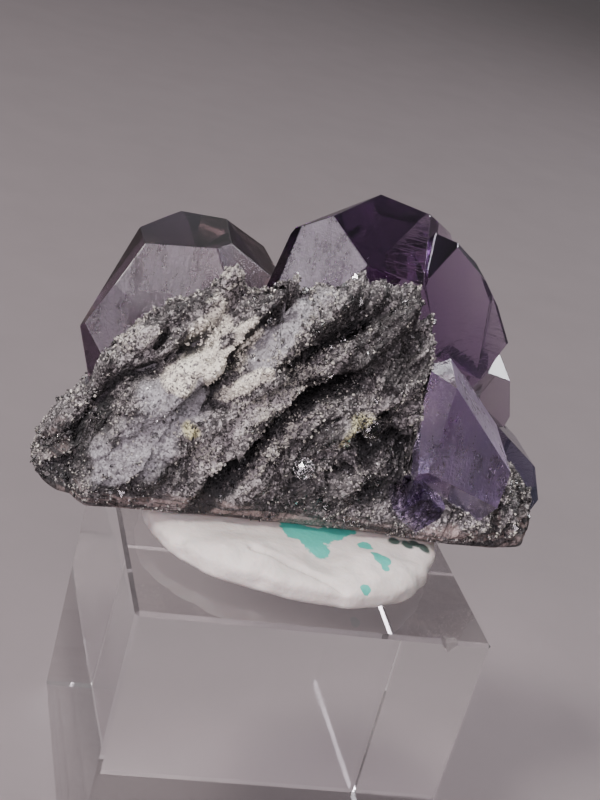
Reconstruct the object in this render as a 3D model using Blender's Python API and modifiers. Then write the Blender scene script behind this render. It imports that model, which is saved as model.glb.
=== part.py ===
"""Fluorite specimen: smoky purple crystals in a layered grey matrix, stuck with white putty on an acrylic block.

The origin is the centre of the block's bottom face. Metres, +Z up, the front of the specimen faces -Y.
"""

import math

import bmesh
import bpy
import numpy as np
from mathutils import Matrix, Vector

COLLECTION = "fluorite_specimen"
GAP = 0.0003  # clearance between touching pieces

# Acrylic block: a 1.5 inch cube with a small chip in its front top edge
BLOCK_SIDE = 0.038
BLOCK_BEVEL = 0.0004
CHIP_X = 0.0142
CHIP_SIZE = 0.0016
BASE = BLOCK_SIDE  # level from which every height of the specimen is measured

# Putty patty: a soft pad, squeezed flat under the stone and bulging out in front of it
PUTTY_CENTRE = (0.0, -0.002)
PUTTY_THICKNESS = 0.0039
PUTTY_FLATNESS = 0.4
PUTTY_REACH = {  # bearing in degrees from the front, counted to the right: distance from the centre
    0: 0.0142,
    30: 0.0157,
    60: 0.0157,
    90: 0.0165,
    130: 0.0156,
    180: 0.0124,
    230: 0.0160,
    270: 0.0175,
    300: 0.0166,
    330: 0.0140,
}

# Matrix: sections across the stone from its left end to its right end, each with
# x, crest height, base height, front y at the base, front y at the crest, back y at the base, back y at the crest
MATRIX_SECTIONS = (
    (-0.0297, 0.0094, 0.0048, -0.0026, -0.0022, 0.0024, 0.0020),
    (-0.0280, 0.0101, 0.0045, -0.0032, -0.0028, 0.0034, 0.0028),
    (-0.0265, 0.0116, 0.0045, -0.0044, -0.0036, 0.0048, 0.0034),
    (-0.0253, 0.0134, 0.0045, -0.0054, -0.0042, 0.0062, 0.0042),
    (-0.0247, 0.0168, 0.0043, -0.0076, -0.0042, 0.0085, 0.0020),
    (-0.0238, 0.0195, 0.0043, -0.0084, -0.0044, 0.0105, 0.0020),
    (-0.0205, 0.0238, 0.0043, -0.0086, -0.0044, 0.0150, 0.0030),
    (-0.0140, 0.0292, 0.0043, -0.0086, -0.0046, 0.0170, 0.0030),
    (-0.0080, 0.0310, 0.0043, -0.0083, -0.0048, 0.0180, 0.0025),
    (-0.0020, 0.0312, 0.0043, -0.0081, -0.0048, 0.0180, 0.0030),
    (0.0065, 0.0322, 0.0043, -0.0082, -0.0035, 0.0180, 0.0035),
    (0.0095, 0.0300, 0.0043, -0.0082, -0.0030, 0.0180, 0.0040),
    (0.0130, 0.0210, 0.0042, -0.0082, -0.0040, 0.0175, 0.0050),
    (0.0165, 0.0165, 0.0040, -0.0080, -0.0040, 0.0170, 0.0070),
    (0.0220, 0.0125, 0.0030, -0.0066, -0.0020, 0.0155, 0.0085),
    (0.0275, 0.0090, 0.0018, -0.0030, 0.0010, 0.0130, 0.0090),
    (0.0305, 0.0060, 0.0030, 0.0030, 0.0050, 0.0080, 0.0070),
)
MATRIX_STATIONS = 72
MATRIX_ANGLES = 50
MATRIX_SQUARENESS = 2.7  # of the upper half of a section; 2 would be an ellipse
BASE_SQUARENESS = 5.5

# Bedding of the matrix: beds dip to the left and each one stands out like a roof tile
BED_DIP = math.radians(48)
BED_BREAKS = (0.0350, 0.0282, 0.0240, 0.0183, 0.0143, 0.0085, 0.0030, -0.0040, -0.0120, -0.0250)
BED_STEP = 0.0018
BED_RISER = 0.22  # share of a bed's width taken by the step back to the next one
# Crevices: half width, depth, then their course over the front as (x, height)
CREVICES = (
    (
        0.0011,
        0.0046,
        ((-0.0118, 0.0060), (-0.0094, 0.0105), (-0.0060, 0.0165), (-0.0030, 0.0198), (0.0010, 0.0212)),
    ),
    (0.0008, 0.0022, ((-0.0065, 0.0222), (-0.0035, 0.0247), (0.0005, 0.0272), (0.0050, 0.0300))),
    (0.0009, 0.0015, ((-0.0125, 0.0218), (-0.0100, 0.0245), (-0.0080, 0.0275))),
    (0.0009, 0.0015, ((-0.0252, 0.0085), (-0.0250, 0.0140), (-0.0228, 0.0175), (-0.0192, 0.0200))),
)
# Pits: x, height, radius and depth over the front
PITS = (
    (0.0036, 0.0152, 0.0016, 0.0024),
    (0.0086, 0.0144, 0.0022, 0.0030),
    (0.0058, 0.0090, 0.0016, 0.0020),
    (0.0100, 0.0098, 0.0020, 0.0022),
    (-0.0165, 0.0230, 0.0016, 0.0018),
)
# Ledges: how far the stone steps back to the left of a course, given as (height, x) from its foot up
LEDGES = (
    (0.0017, ((0.0000, -0.0243), (0.0083, -0.0250), (0.0108, -0.0226), (0.0161, -0.0219))),
    (0.0008, ((0.0161, -0.0219), (0.0196, -0.0190))),
    (0.0004, ((0.0196, -0.0190), (0.0248, -0.0118), (0.0290, -0.0070))),
)
LEDGE_WIDTH = 0.0009
# Lumps: size of the swell and its three lengths along x, y and height
LUMP_HEIGHT = 0.0003
LUMP_LENGTHS = (0.0094, 0.0081, 0.0072)
# Broken blocks: the stone is broken into angular cells, longer along the beds than across them,
# each one standing in or out by its own offset and slanting its own way
CELL_COUNT = 620
CELL_SEED = 11
CELL_STRETCH = (0.55, 0.8, 1.35)  # along the beds, front to back, across the beds
CELL_OFFSET = 0.0005
CELL_SLANT = 0.2

# Crystals: each is cut from a block by flat faces. A face is its bearing in degrees (0 looks to the
# front, 90 to the right, negative to the left), its tilt in degrees above level, and its distance
# from the crystal's centre.
LEFT_CENTRE = (-0.016, 0.008, BASE + 0.021)
LEFT_FACES = {
    "crown": (-120, 81, 0.0086),
    "frosted_front": (-12, 30, 0.0086),
    "frosted_corner": (-15, 25, 0.0089),
    "left_shoulder": (-95, 29, 0.0086),
    "right_sliver": (45, 41, 0.0096),
    "right_shoulder": (89, 58, 0.0098),
    "left_front": (-45, -5, 0.0126),
    "left_back": (-129, -9, 0.0043),
    "left_back_shoulder": (-126, 36, 0.0090),
    "back_shoulder": (-176, 35, 0.0117),
    "back_right_shoulder": (164, 54, 0.0114),
    "back": (180, -5, 0.0115),
    "left_foot": (-89, -19, 0.0106),
    "right_side": (96, -16, 0.0095),
    "foot": (0, -90, 0.0125),
    "front_foot": (0, -20, 0.0115),
}

RIGHT_CENTRE = (0.006, 0.009, BASE + 0.020)
RIGHT_FACES = {
    "frosted_front": (-31, 22, 0.0138),
    "dark_crown": (28, 57, 0.0130),
    "left_side": (-83, 16, 0.0154),
    "left_roof": (-124, 55, 0.0154),
    "front_wall": (7, -1, 0.0077),
    "right_shoulder": (63, 26, 0.0092),
    "back_roof": (155, 67, 0.0156),
    "right_roof": (114, 64, 0.0159),
    "right_foot": (65, -45, 0.0136),
    "back": (178, 10, 0.0115),
    "left_back": (-132, 2, 0.0078),
    "left_back_roof": (-146, 24, 0.0092),
    "foot": (0, -90, 0.0140),
    "left_foot": (-40, -35, 0.0120),
    "right_side": (98, -4, 0.0150),
}

# The second crystal that is grown into the right one and makes its right-hand side
SIDE_CENTRE = (0.015, 0.012, BASE + 0.021)
SIDE_FACES = {
    "lens": (42, 24, 0.0063),
    "upper_lens": (62, 42, 0.0082),
    "upper_right": (131, 58, 0.0089),
    "right_roof": (106, 42, 0.0079),
    "right_side": (110, 31, 0.0077),
    "bright_underside": (64, -32, 0.0069),
    "front_foot": (20, -25, 0.0077),
    "back": (172, 16, 0.0065),
    "left": (-100, 10, 0.0062),
    "foot": (0, -80, 0.0080),
    "top": (-60, 70, 0.0126),
}

FRONT_CENTRE = (0.0150, -0.0034, BASE + 0.0148)
FRONT_FACES = {
    "face": (6, 16, 0.0041),
    "left_slope": (-63, 15, 0.0057),
    "right_slope": (78, 46, 0.0039),
    "underside": (-17, -40, 0.0054),
    "right_side": (80, -8, 0.0060),
    "left_side": (-95, -5, 0.0048),
    "top": (0, 90, 0.0078),
    "back": (180, 0, 0.0070),
    "foot": (0, -85, 0.0090),
}

CORNER_CENTRE = (0.025, 0.006, BASE + 0.006)
CORNER_FACES = {
    "front": (30, 25, 0.0041),
    "roof": (86, 53, 0.0054),
    "right": (94, 17, 0.0054),
    "underside": (61, -27, 0.0057),
    "left": (-80, 10, 0.0070),
    "back": (180, 15, 0.0060),
    "foot": (0, -85, 0.0030),
    "front_left": (-20, -20, 0.0040),
}

SMOKY_CENTRE = (0.021, 0.011, BASE + 0.012)
SMOKY_FACES = {
    "front": (30, 10, 0.0044),
    "roof": (55, 56, 0.0072),
    "right": (92, 18, 0.0056),
    "right_foot": (77, -19, 0.0050),
    "left": (-80, 10, 0.0060),
    "back": (180, 10, 0.0060),
    "foot": (0, -80, 0.0060),
}

# Cubes grown on the back of the stone: centre, half side, and turns about X, Y and Z in degrees
REAR_CUBES = {
    "rear_crystal": ((-0.0075, 0.0165, BASE + 0.0120), 0.0062, (24, 16, 38)),
    "low_rear_crystal": ((0.0150, 0.0185, BASE + 0.0085), 0.0046, (-14, 28, 12)),
    "left_rear_crystal": ((-0.0150, 0.0155, BASE + 0.0100), 0.0038, (30, -12, 55)),
    "purple_crystal": ((0.0110, -0.0070, BASE + 0.0095), 0.0021, (20, 35, 15)),
}

# Small glassy crystals set in the front of the matrix
BEADS = {
    "low_bead": ((-0.0023, -0.0070, BASE + 0.0116), 0.0012),
    "high_bead": ((0.0040, -0.0060, BASE + 0.0166), 0.0011),
}
PRISM_CENTRE = (-0.0243, -0.0044, BASE + 0.0116)
PRISM_RADIUS = 0.0009
PRISM_LENGTH = 0.0034


def clear_scene():
    for obj in list(bpy.data.objects):
        bpy.data.objects.remove(obj, do_unlink=True)


def make_collection(name):
    group = bpy.data.collections.new(name)
    bpy.context.scene.collection.children.link(group)
    return group


def make_material(name, colour, roughness, transmission=0.0, ior=1.5):
    material = bpy.data.materials.new(name)
    material.use_nodes = True
    shader = material.node_tree.nodes["Principled BSDF"]
    shader.inputs["Base Color"].default_value = (*colour, 1.0)
    shader.inputs["Roughness"].default_value = roughness
    shader.inputs["Metallic"].default_value = 0.0
    shader.inputs["Transmission Weight"].default_value = transmission
    shader.inputs["IOR"].default_value = ior
    return material


def add_object(name, bm, group, material=None):
    bmesh.ops.recalc_face_normals(bm, faces=bm.faces[:])
    mesh = bpy.data.meshes.new(name)
    bm.to_mesh(mesh)
    bm.free()
    if material:
        mesh.materials.append(material)
    obj = bpy.data.objects.new(name, mesh)
    group.objects.link(obj)
    return obj


def hide_cutter(obj):
    obj.hide_render = True
    obj.display_type = "WIRE"
    return obj


def boolean(obj, other, operation, solver="EXACT"):
    modifier = obj.modifiers.new(f"{operation.lower()} {other.name}", "BOOLEAN")
    modifier.operation = operation
    modifier.object = other
    modifier.solver = solver


def keep_largest_piece(obj, group):
    """Applies the modifiers and drops the loose chips that the cuts leave."""
    graph = bpy.context.evaluated_depsgraph_get()
    mesh = bpy.data.meshes.new_from_object(obj.evaluated_get(graph))
    bm = bmesh.new()
    bm.from_mesh(mesh)
    bmesh.ops.triangulate(bm, faces=bm.faces[:])
    pieces = []
    waiting = set(bm.faces)
    while waiting:
        front = [waiting.pop()]
        piece = list(front)
        while front:
            for edge in front.pop().edges:
                for face in edge.link_faces:
                    if face in waiting:
                        waiting.discard(face)
                        piece.append(face)
                        front.append(face)
        pieces.append(piece)
    pieces.sort(key=len, reverse=True)
    loose = [face for piece in pieces[1:] for face in piece]
    bmesh.ops.delete(bm, geom=loose, context="FACES")
    material = obj.data.materials[0]
    name = obj.name
    bpy.data.objects.remove(obj, do_unlink=True)
    return add_object(name, bm, group, material)


def face_normal(bearing, tilt):
    bearing = math.radians(bearing)
    tilt = math.radians(tilt)
    level = math.cos(tilt)
    return Vector((math.sin(bearing) * level, -math.cos(bearing) * level, math.sin(tilt)))


def faceted_body(centre, faces, grow=0.0):
    """A block around the centre, cut down by one plane for each face."""
    bm = bmesh.new()
    bmesh.ops.create_cube(bm, size=0.12, matrix=Matrix.Translation(centre))
    for bearing, tilt, distance in faces.values():
        normal = face_normal(bearing, tilt)
        cut = bmesh.ops.bisect_plane(
            bm,
            geom=bm.verts[:] + bm.edges[:] + bm.faces[:],
            plane_co=Vector(centre) + normal * (distance + grow),
            plane_no=normal,
            clear_outer=True,
        )
        rim = [item for item in cut["geom_cut"] if isinstance(item, bmesh.types.BMEdge)]
        if rim:
            bmesh.ops.contextual_create(bm, geom=rim)
    bmesh.ops.remove_doubles(bm, verts=bm.verts[:], dist=0.00002)
    bmesh.ops.dissolve_degenerate(bm, dist=0.00002, edges=bm.edges[:])
    return bm


def cube_body(centre, half_side, turns, grow=0.0):
    """A cube crystal, its corners cut by the eight faces that fluorite often adds."""
    turn = Matrix.Rotation(math.radians(turns[2]), 4, "Z")
    turn @= Matrix.Rotation(math.radians(turns[1]), 4, "Y")
    turn @= Matrix.Rotation(math.radians(turns[0]), 4, "X")
    bm = bmesh.new()
    bmesh.ops.create_cube(bm, size=2 * (half_side + grow), matrix=Matrix.Translation(centre) @ turn)
    for corner in ((1, 1, 1), (1, -1, 1), (-1, 1, 1), (-1, -1, 1), (1, 1, -1), (-1, -1, -1)):
        normal = (turn @ Vector(corner)).normalized()
        cut = bmesh.ops.bisect_plane(
            bm,
            geom=bm.verts[:] + bm.edges[:] + bm.faces[:],
            plane_co=Vector(centre) + normal * (half_side * 1.48 + grow),
            plane_no=normal,
            clear_outer=True,
        )
        rim = [item for item in cut["geom_cut"] if isinstance(item, bmesh.types.BMEdge)]
        bmesh.ops.contextual_create(bm, geom=rim)
    return bm


def bead_body(centre, radius, grow=0.0):
    bm = bmesh.new()
    bmesh.ops.create_icosphere(bm, subdivisions=2, radius=radius + grow, matrix=Matrix.Translation(centre))
    return bm


def prism_body(grow=0.0):
    bm = bmesh.new()
    bmesh.ops.create_cone(
        bm,
        cap_ends=True,
        segments=6,
        radius1=PRISM_RADIUS + grow,
        radius2=PRISM_RADIUS + grow,
        depth=PRISM_LENGTH + 2 * grow,
        matrix=Matrix.Translation(PRISM_CENTRE) @ Matrix.Rotation(math.radians(12), 4, "Y"),
    )
    return bm


def course_distance(x, height, course):
    """Shortest distance from each point to a polyline over the front."""
    nearest = np.full(x.shape, np.inf)
    for (x0, z0), (x1, z1) in zip(course, course[1:]):
        along = ((x - x0) * (x1 - x0) + (height - z0) * (z1 - z0)) / ((x1 - x0) ** 2 + (z1 - z0) ** 2)
        along = np.clip(along, 0.0, 1.0)
        nearest = np.minimum(nearest, np.hypot(x - x0 - along * (x1 - x0), height - z0 - along * (z1 - z0)))
    return nearest


def bed_relief(x, height):
    """Each bed rises from its upper edge to its lower edge and then steps back."""
    across = -x * math.sin(BED_DIP) + height * math.cos(BED_DIP)
    wobble = 0.0007 * np.sin(x / 0.0041) + 0.0004 * np.sin(height / 0.0027)
    relief = np.zeros(x.shape)
    for upper, lower in zip(BED_BREAKS, BED_BREAKS[1:]):
        share = (upper - across - wobble) / (upper - lower)
        inside = (share >= 0) & (share < 1)
        rise = np.minimum(share / (1 - BED_RISER), (1 - share) / BED_RISER)
        relief = np.where(inside, BED_STEP * (rise - 0.5), relief)
    return relief


def cell_relief(x, y, height):
    """Each point takes the offset and the slanting plane of the nearest cell centre."""
    random = np.random.default_rng(CELL_SEED)
    low = np.array((-0.036, -0.012, 0.0))
    high = np.array((0.034, 0.022, 0.036))
    centres = low + (high - low) * random.random((CELL_COUNT, 3))
    offsets = CELL_OFFSET * (2 * random.random(CELL_COUNT) - 1)
    slants = CELL_SLANT * (2 * random.random((CELL_COUNT, 3)) - 1)
    cos, sin = math.cos(BED_DIP), math.sin(BED_DIP)
    bedding = np.array(((cos, 0.0, sin), (0.0, 1.0, 0.0), (-sin, 0.0, cos))) * np.array(CELL_STRETCH)[:, None]
    points = np.stack([x, y, height], axis=-1).reshape(-1, 3)
    relief = np.empty(len(points))
    for start in range(0, len(points), 4000):
        some = points[start : start + 4000]
        apart = (some @ bedding.T)[:, None, :] - (centres @ bedding.T)[None, :, :]
        nearest = np.argmin((apart**2).sum(axis=2), axis=1)
        slope = ((some - centres[nearest]) * slants[nearest]).sum(axis=1)
        relief[start : start + 4000] = offsets[nearest] + slope
    return relief.reshape(np.shape(x))


def matrix_relief(x, y, height, frontness):
    lumps = np.sin(x / LUMP_LENGTHS[0] * 6.28 + 1.1) * np.sin(y / LUMP_LENGTHS[1] * 6.28 + 0.4)
    lumps += 0.8 * np.sin(height / LUMP_LENGTHS[2] * 6.28 + x / 0.0031)
    relief = LUMP_HEIGHT * lumps + bed_relief(x, height) * (0.3 + 0.7 * frontness)
    relief = relief + cell_relief(x, y, height)
    for half_width, depth, course in CREVICES:
        distance = course_distance(x, height, course)
        relief = relief - frontness * depth * np.exp(-((distance / half_width) ** 2))
    for pit_x, pit_height, radius, depth in PITS:
        distance = np.hypot(x - pit_x, height - pit_height)
        relief = relief - frontness * depth * np.exp(-((distance / radius) ** 2))
    for depth, course in LEDGES:
        heights, places = np.array(course).T
        left = np.clip((np.interp(height, heights, places) - x) / LEDGE_WIDTH, 0.0, 1.0)
        beside = (height >= heights[0]) & (height < heights[-1])
        relief = relief - frontness * depth * left * beside
    return relief


def matrix_points(station, angle):
    """Point of the stone's surface at a station, 0 left end to 1 right end, and an angle from the front upwards."""
    table = np.array(MATRIX_SECTIONS)
    x = table[0, 0] + (table[-1, 0] - table[0, 0]) * station
    crest, base, front_base, front_crest, back_base, back_crest = (
        np.interp(x, table[:, 0], table[:, column]) for column in range(1, 7)
    )
    power = np.where(np.sin(angle) > 0, MATRIX_SQUARENESS, BASE_SQUARENESS)
    reach = (np.abs(np.cos(angle)) ** power + np.abs(np.sin(angle)) ** power) ** (-1 / power)
    forward = np.cos(angle) * reach
    upward = np.sin(angle) * reach
    taper = (1 - np.abs(2 * station - 1) ** 14) ** 0.5
    rise = (upward * taper + 1) / 2
    height = base + (crest - base) * rise
    front = front_base + (front_crest - front_base) * rise
    back = back_base + (back_crest - back_base) * rise
    y = (front + back) / 2 - forward * taper * (back - front) / 2
    frontness = np.clip(forward * 1.6, 0.0, 1.0)
    underside = np.clip(-upward * 1.8 - 0.6, 0.0, 1.0)
    relief = matrix_relief(x, y, height, frontness) * taper * (1 - underside)
    y = y - forward * relief
    height = height + np.maximum(upward, -0.2) * relief
    return x, y, height + BASE


def build_matrix(group, material):
    """A sphere with its poles at the stone's two ends, each vertex moved onto the stone's surface."""
    bm = bmesh.new()
    bmesh.ops.create_uvsphere(bm, u_segments=MATRIX_ANGLES, v_segments=MATRIX_STATIONS, radius=1.0)
    points = np.array([vert.co for vert in bm.verts])
    station = np.arccos(np.clip(-points[:, 2], -1.0, 1.0)) / math.pi
    angle = np.arctan2(points[:, 1], points[:, 0])
    x, y, z = matrix_points(station, angle)
    for vert, co in zip(bm.verts, zip(x, y, z)):
        vert.co = co
    bmesh.ops.triangulate(bm, faces=bm.faces[:])
    return add_object("matrix", bm, group, material)


def build_block(group, cutters, material):
    bm = bmesh.new()
    bmesh.ops.create_cube(bm, size=BLOCK_SIDE, matrix=Matrix.Translation((0, 0, BLOCK_SIDE / 2)))
    block = add_object("acrylic_block", bm, group, material)
    bevel = block.modifiers.new("edge", "BEVEL")
    bevel.width = BLOCK_BEVEL
    bevel.segments = 1
    bm = bmesh.new()
    place = Matrix.Translation((CHIP_X, -BLOCK_SIDE / 2, BLOCK_SIDE))
    turn = Matrix.Rotation(math.radians(31), 4, "X") @ Matrix.Rotation(math.radians(45), 4, "Y")
    bmesh.ops.create_cube(bm, size=CHIP_SIZE, matrix=place @ turn)
    boolean(block, hide_cutter(add_object("chip_cutter", bm, cutters)), "DIFFERENCE")
    return block


def putty_reach(bearing):
    """Distance from the centre to the putty's rim, smooth between the named bearings."""
    marks = sorted(PUTTY_REACH)
    steps = np.array(marks + [360.0])
    reach = np.array([PUTTY_REACH[mark] for mark in marks] + [PUTTY_REACH[marks[0]]])
    return np.interp(np.degrees(bearing) % 360, steps, reach)


def build_putty(group, material):
    """A flattened sphere whose rim follows the putty's outline and whose top is level under the stone."""
    bm = bmesh.new()
    bmesh.ops.create_uvsphere(bm, u_segments=36, v_segments=12, radius=1.0)
    for vert in bm.verts:
        bearing = math.atan2(vert.co.x, -vert.co.y)
        flat = math.hypot(vert.co.x, vert.co.y)
        reach = float(putty_reach(bearing)) * flat**PUTTY_FLATNESS
        rise = 0.5 + 0.5 * math.copysign(abs(vert.co.z) ** PUTTY_FLATNESS, vert.co.z)
        vert.co.x = PUTTY_CENTRE[0] + reach * math.sin(bearing)
        vert.co.y = PUTTY_CENTRE[1] - reach * math.cos(bearing)
        vert.co.z = BLOCK_SIDE + GAP + PUTTY_THICKNESS * rise
    return add_object("putty", bm, group, material)


def crystal_bodies():
    """For each crystal, the functions that make its convex bodies with a given growth."""
    bodies = {
        "right_crystal": [
            lambda grow: faceted_body(RIGHT_CENTRE, RIGHT_FACES, grow),
            lambda grow: faceted_body(SIDE_CENTRE, SIDE_FACES, grow),
        ],
        "left_crystal": [lambda grow: faceted_body(LEFT_CENTRE, LEFT_FACES, grow)],
        "front_crystal": [lambda grow: faceted_body(FRONT_CENTRE, FRONT_FACES, grow)],
        "smoky_crystal": [lambda grow: faceted_body(SMOKY_CENTRE, SMOKY_FACES, grow)],
        "corner_crystal": [lambda grow: faceted_body(CORNER_CENTRE, CORNER_FACES, grow)],
    }
    for name, (centre, half_side, turns) in REAR_CUBES.items():
        bodies[name] = [lambda grow, c=centre, h=half_side, t=turns: cube_body(c, h, t, grow)]
    for name, (centre, radius) in BEADS.items():
        bodies[name] = [lambda grow, c=centre, r=radius: bead_body(c, r, grow)]
    bodies["clear_prism"] = [prism_body]
    return bodies


def build_crystals(group, cutters, materials):
    """Builds the crystals by rank, each one cut clear of those before it, and returns their clearance cutters."""
    clearances = []
    for name, bodies in crystal_bodies().items():
        crystal = add_object(name, bodies[0](0.0), group, materials.get(name, materials["smoky"]))
        for number, body in enumerate(bodies[1:]):
            grown_in = hide_cutter(add_object(f"{name}_grown_in_{number}", body(0.0), cutters))
            boolean(crystal, grown_in, "UNION")
        for clearance in clearances:
            boolean(crystal, clearance, "DIFFERENCE")
        keep_largest_piece(crystal, group)
        for number, body in enumerate(bodies):
            clearance = add_object(f"{name}_clearance_{number}", body(GAP), cutters)
            clearances.append(hide_cutter(clearance))
    return clearances


def main():
    clear_scene()
    group = make_collection(COLLECTION)
    cutters = make_collection("cutters")
    materials = {
        "smoky": make_material("smoky fluorite", (0.36, 0.33, 0.38), 0.08, 1.0, 1.434),
        "left_crystal": make_material("grey lavender fluorite", (0.42, 0.37, 0.44), 0.15, 1.0, 1.434),
        "right_crystal": make_material("purple fluorite", (0.22, 0.15, 0.36), 0.08, 1.0, 1.434),
        "front_crystal": make_material("pale purple fluorite", (0.55, 0.46, 0.68), 0.12, 1.0, 1.434),
        "low_bead": make_material("clear bead", (0.80, 0.80, 0.80), 0.05, 1.0, 1.5),
    }
    stone = make_material("layered grey stone", (0.24, 0.23, 0.23), 0.85)
    putty = make_material("white putty", (0.86, 0.83, 0.80), 0.6)
    acrylic = make_material("clear acrylic", (0.97, 0.97, 0.96), 0.02, 1.0, 1.49)
    materials["high_bead"] = materials["low_bead"]
    materials["clear_prism"] = materials["low_bead"]

    build_block(group, cutters, acrylic)
    build_putty(group, putty)
    clearances = build_crystals(group, cutters, materials)
    matrix = build_matrix(group, stone)
    for clearance in clearances:
        boolean(matrix, clearance, "DIFFERENCE")
    keep_largest_piece(matrix, group)


main()
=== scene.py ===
"""Fluorite specimen on an acrylic block: detailed surfaces, materials and stage, laid out as an add-on."""

import itertools
import math

import bmesh
import bpy
import numpy as np
from mathutils import Matrix, Vector


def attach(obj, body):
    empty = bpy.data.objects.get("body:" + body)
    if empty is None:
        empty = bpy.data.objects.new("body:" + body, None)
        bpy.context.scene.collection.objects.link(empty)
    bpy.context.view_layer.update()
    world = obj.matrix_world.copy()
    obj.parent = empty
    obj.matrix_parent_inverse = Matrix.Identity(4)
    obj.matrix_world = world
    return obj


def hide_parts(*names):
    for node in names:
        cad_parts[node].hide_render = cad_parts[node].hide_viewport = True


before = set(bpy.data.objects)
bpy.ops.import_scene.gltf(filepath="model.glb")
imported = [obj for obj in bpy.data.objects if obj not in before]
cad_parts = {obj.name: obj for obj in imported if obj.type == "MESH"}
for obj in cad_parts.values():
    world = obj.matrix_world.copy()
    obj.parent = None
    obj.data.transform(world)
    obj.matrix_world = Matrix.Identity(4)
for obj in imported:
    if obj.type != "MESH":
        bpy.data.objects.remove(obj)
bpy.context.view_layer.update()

bl_info = {
    "name": "Fluorite Specimen",
    "version": (1, 0, 0),
    "blender": (4, 5, 0),
    "location": "View3D > Sidebar > Specimen",
    "description": "Builds a fluorite specimen on its acrylic block, with its stage",
    "category": "Object",
}

# The level of the block's top, from which every height of the specimen is measured
BASE = 0.038

# The photograph's camera, fitted to the block's edges
PHOTO_SIZE = (600, 800)
CAMERA_EYE = (-0.0484, -0.1376, 0.1188)
CAMERA_BEARING = 18.479
CAMERA_DIP = 24.055
CAMERA_ROLL = -15.74
FOCAL_PIXELS = 1488.075

# Stone sections: x, crest height, base height, front y at the base and crest, back y at the base and crest
STONE_SECTIONS = (
    (-0.0292, 0.0096, 0.0036, -0.0028, -0.0024, 0.0024, 0.0020),
    (-0.0280, 0.0103, 0.0033, -0.0034, -0.0030, 0.0034, 0.0028),
    (-0.0265, 0.0117, 0.0033, -0.0046, -0.0038, 0.0048, 0.0034),
    (-0.0253, 0.0134, 0.0036, -0.0056, -0.0044, 0.0062, 0.0042),
    (-0.0247, 0.0168, 0.0037, -0.0076, -0.0042, 0.0085, 0.0020),
    (-0.0238, 0.0195, 0.0034, -0.0084, -0.0044, 0.0105, 0.0020),
    (-0.0205, 0.0246, 0.0033, -0.0086, -0.0050, 0.0150, 0.0030),
    (-0.0140, 0.0300, 0.0032, -0.0086, -0.0056, 0.0170, 0.0030),
    (-0.0085, 0.0314, 0.0032, -0.0083, -0.0060, 0.0180, 0.0025),
    (-0.0072, 0.0312, 0.0032, -0.0083, -0.0060, 0.0180, 0.0025),
    (-0.0050, 0.0292, 0.0032, -0.0083, -0.0050, 0.0180, 0.0025),
    (-0.0020, 0.0290, 0.0032, -0.0081, -0.0048, 0.0180, 0.0030),
    (0.0065, 0.0306, 0.0032, -0.0082, -0.0035, 0.0180, 0.0035),
    (0.0095, 0.0292, 0.0032, -0.0082, -0.0030, 0.0180, 0.0040),
    (0.0130, 0.0210, 0.0033, -0.0082, -0.0040, 0.0175, 0.0050),
    (0.0165, 0.0165, 0.0034, -0.0080, -0.0040, 0.0170, 0.0070),
    (0.0220, 0.0125, 0.0030, -0.0066, -0.0020, 0.0155, 0.0085),
    (0.0275, 0.0090, 0.0018, -0.0030, 0.0010, 0.0130, 0.0090),
    (0.0305, 0.0060, 0.0030, 0.0030, 0.0050, 0.0080, 0.0070),
)
SQUARENESS = (5.5, 2.7)  # of the lower and the upper half of a section
END_SQUARENESS = 30  # of the stone's two ends
RAY_START = 0.72  # how far forward and down of a section's middle its rays start, as a share of its half
RAY_LENGTH = 0.06  # longer than any section's half
RAY_HALVINGS = 26  # steps that find the rim along a ray
STONE_STATIONS = 430
STONE_AROUND = 224
FIRST_AROUND = 640  # points of the first pass, which measures each section's length

# Beds: their tilt, where one ends and the next begins, how far each stands out, and its lower edge's share
BED_DIP = math.radians(48)
BED_BREAKS = (0.0350, 0.0282, 0.0240, 0.0183, 0.0143, 0.0085, 0.0030, -0.0040, -0.0120, -0.0250)
BED_STEP = 0.0018
BED_RISER = 0.22
BED_WAVES = ((0.0007, 0.0041), (0.0004, 0.0027))  # height and length of the beds' waves along x and upward

# Crevices: half width, depth and course in x and height
CREVICES = (
    (
        0.0011,
        0.0046,
        ((-0.0118, 0.0060), (-0.0094, 0.0105), (-0.0060, 0.0165), (-0.0030, 0.0198), (0.0010, 0.0212)),
    ),
    (0.0008, 0.0022, ((-0.0065, 0.0222), (-0.0035, 0.0247), (0.0005, 0.0272), (0.0050, 0.0300))),
    (0.0009, 0.0015, ((-0.0125, 0.0218), (-0.0100, 0.0245), (-0.0080, 0.0275))),
    (0.0009, 0.0015, ((-0.0252, 0.0085), (-0.0250, 0.0140), (-0.0228, 0.0175), (-0.0192, 0.0200))),
)

# Pits: x, height, radius and depth
PITS = (
    (0.0036, 0.0152, 0.0016, 0.0024),
    (0.0086, 0.0144, 0.0022, 0.0030),
    (0.0058, 0.0090, 0.0016, 0.0020),
    (0.0100, 0.0098, 0.0020, 0.0022),
    (-0.0165, 0.0230, 0.0016, 0.0018),
)

# Ledges: depth by which the stone is set back on the left of a course in height and x
LEDGES = (
    (0.0017, ((0.0000, -0.0243), (0.0083, -0.0250), (0.0108, -0.0226), (0.0161, -0.0219))),
    (0.0008, ((0.0161, -0.0219), (0.0196, -0.0190))),
    (0.0004, ((0.0196, -0.0190), (0.0248, -0.0118), (0.0290, -0.0070))),
)
LEDGE_WIDTH = 0.0009

LUMP_HEIGHT = 0.0003
LUMP_LENGTHS = (0.0094, 0.0081, 0.0072)

# Broken blocks of the stone: their number, random seed, offset and slant
LARGE_CELLS = (620, 11, 0.0005, 0.2)
SMALL_CELLS = (6500, 23, 0.00018, 0.3)
CELL_STRETCH = (0.55, 0.8, 1.35)
CELL_SPACE = ((-0.036, -0.012, 0.0), (0.034, 0.022, 0.036))
CELL_BATCH = 3000  # points handled at once

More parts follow.
